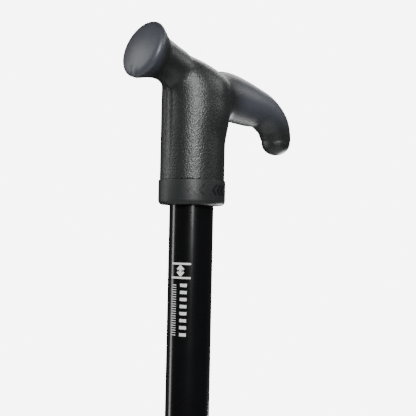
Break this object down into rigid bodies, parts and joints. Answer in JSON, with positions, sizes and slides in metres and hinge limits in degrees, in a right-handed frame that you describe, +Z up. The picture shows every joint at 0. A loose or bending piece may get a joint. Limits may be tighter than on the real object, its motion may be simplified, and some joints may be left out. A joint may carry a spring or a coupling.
{
  "type": "quad walking cane",
  "caption": "Height-adjustable walking cane with a contoured soft-grip handle, a telescoping tube shaft with a snap button and lock nut, and a splayed base on rubber tips.",
  "frame": {"origin": "on the floor, at the middle of the four feet and of the bounding box", "axes": "+Z up along the shaft, +X forwards to the handle's curved nose, +Y to the user's body, on whose side the shaft stands"},
  "size_m": [0.192, 0.162, 0.853],
  "materials": {
    "soft_grip": "satin soft-touch over-mould",
    "core_nylon": "matte",
    "collar_plastic": "satin",
    "black_tube": "gloss black anodised",
    "black_nylon": "matte",
    "nut_plastic": "satin",
    "natural_nylon": "satin",
    "button_steel": "polished nickel plate",
    "spring_steel": "bright",
    "zinc_steel": "bright zinc plate",
    "black_steel": "satin black powder coat",
    "tip_rubber": "matte"
  },
  "bodies": {
    "base": {"base_socket": "black_steel", "socket_liner": "black_nylon", "socket_plug": "black_nylon", "socket_bolt": "zinc_steel", "socket_nut": "zinc_steel", "lower_tube": "black_tube", "tube_guide": "natural_nylon", "snap_spring": "spring_steel", "leg_front_inner": "black_steel", "leg_rear_inner": "black_steel", "leg_front_outer": "black_steel", "leg_rear_outer": "black_steel", "tip_front_inner": "tip_rubber", "tip_rear_inner": "tip_rubber", "tip_front_outer": "tip_rubber", "tip_rear_outer": "tip_rubber", "washer_front_inner": "zinc_steel", "washer_rear_inner": "zinc_steel", "washer_front_outer": "zinc_steel", "washer_rear_outer": "zinc_steel"},
    "upper": {"upper_tube": "black_tube", "handle_grip": "soft_grip", "handle_core": "core_nylon", "handle_collar": "collar_plastic", "handle_screw": "zinc_steel", "clamp_sleeve": "black_nylon"},
    "lock_nut": {"lock_nut": "nut_plastic", "clamp_ring": "natural_nylon"},
    "button": {"snap_button": "button_steel"}
  },
  "joints": [
    {"name": "height", "type": "slide", "parent": "base", "child": "upper", "axis": [0, 0, 1], "range_m": [-0.12, 0.12]},
    {"name": "nut_turn", "type": "hinge", "parent": "upper", "child": "lock_nut", "pos_m": [0, 0.022, 0.33], "axis": [0, 0, 1], "range_deg": [-120, 0]},
    {"name": "button_press", "type": "slide", "parent": "base", "child": "button", "axis": [-1, 0, 0], "range_m": [0, 0.0046], "stiffness_N_per_m": 1500, "springref_m": -0.002, "deforming": ["snap_spring"]}
  ]
}
